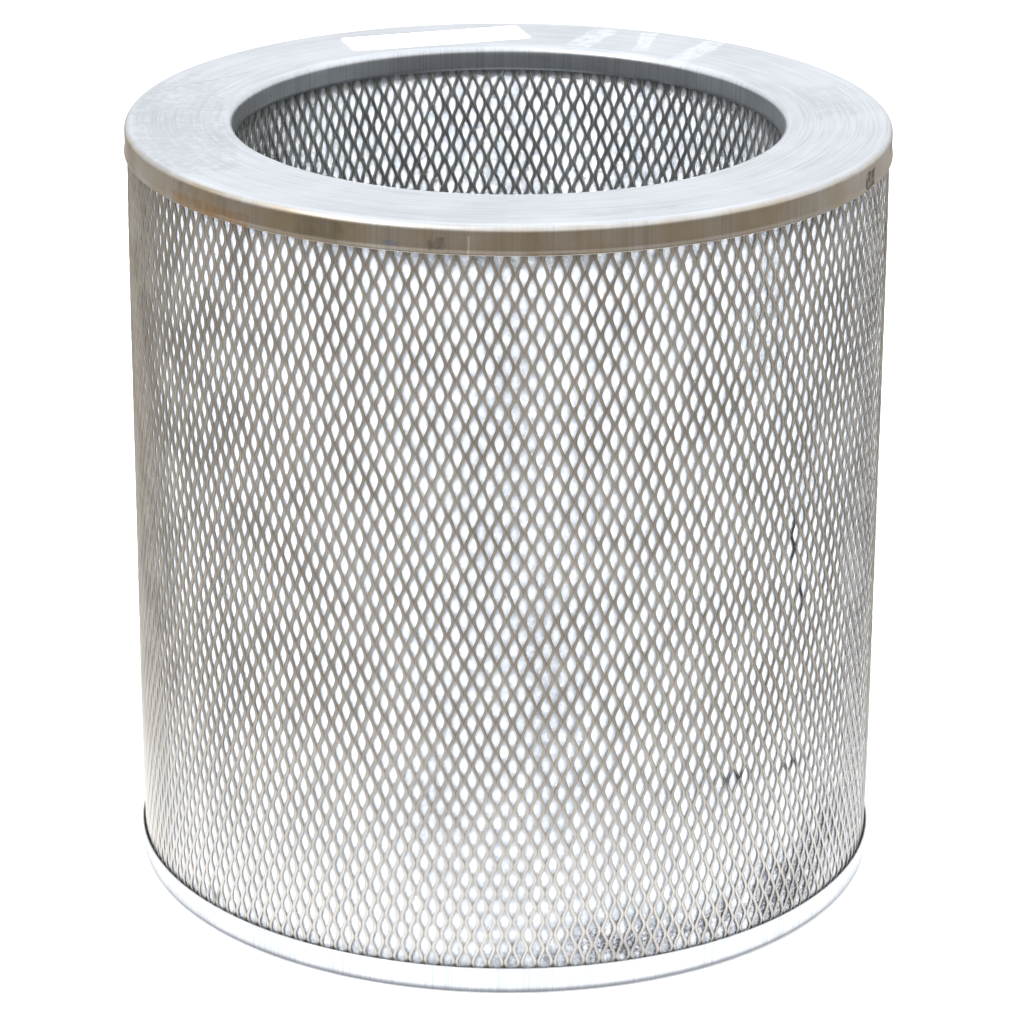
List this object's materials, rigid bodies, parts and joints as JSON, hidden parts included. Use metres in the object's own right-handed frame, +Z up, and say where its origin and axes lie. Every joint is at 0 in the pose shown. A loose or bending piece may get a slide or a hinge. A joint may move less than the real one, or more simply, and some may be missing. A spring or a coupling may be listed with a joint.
{
  "type": "annular filter canister",
  "caption": "Cylindrical dust and odour filter canister: expanded-metal guards over white fleece round a carbon bed, with pressed steel ring caps and an open core.",
  "frame": {"origin": "on the canister's axis, at the lower cap's outer face, where it stands", "axes": "+Z up along the canister's axis; -Y is the front, and the label is on top towards +Y"},
  "size_m": [0.382, 0.382, 0.3907],
  "materials": {
    "galvanised_cap": "pressed from hot-dip galvanised sheet, satin, with circular rub marks",
    "galvanised_mesh": "galvanised raised expanded metal",
    "inner_mesh": "galvanised raised expanded metal, dusty",
    "nonwoven_fleece": "white fibrous nonwoven, carbon dust stains",
    "carbon_granules": "granulated activated carbon, matt black",
    "wool_felt": "grey needled felt",
    "urethane_sealant": "set sealant, cream",
    "seam_tape": "white polypropylene tape",
    "label_paper": "blank white self-adhesive paper"
  },
  "bodies": {
    "root": {"top_end_cap": "galvanised_cap", "bottom_end_cap": "galvanised_cap", "outer_guard": "galvanised_mesh", "inner_guard": "inner_mesh", "outer_fleece": "nonwoven_fleece", "inner_fleece": "nonwoven_fleece", "outer_fleece_seam_tape": "seam_tape", "inner_fleece_seam_tape": "seam_tape", "top_outer_sealant": "urethane_sealant", "top_inner_sealant": "urethane_sealant", "bottom_outer_sealant": "urethane_sealant", "bottom_inner_sealant": "urethane_sealant", "top_felt_pad": "wool_felt", "bottom_felt_pad": "wool_felt", "carbon_bed": "carbon_granules", "paper_label": "label_paper"}
  },
  "joints": []
}
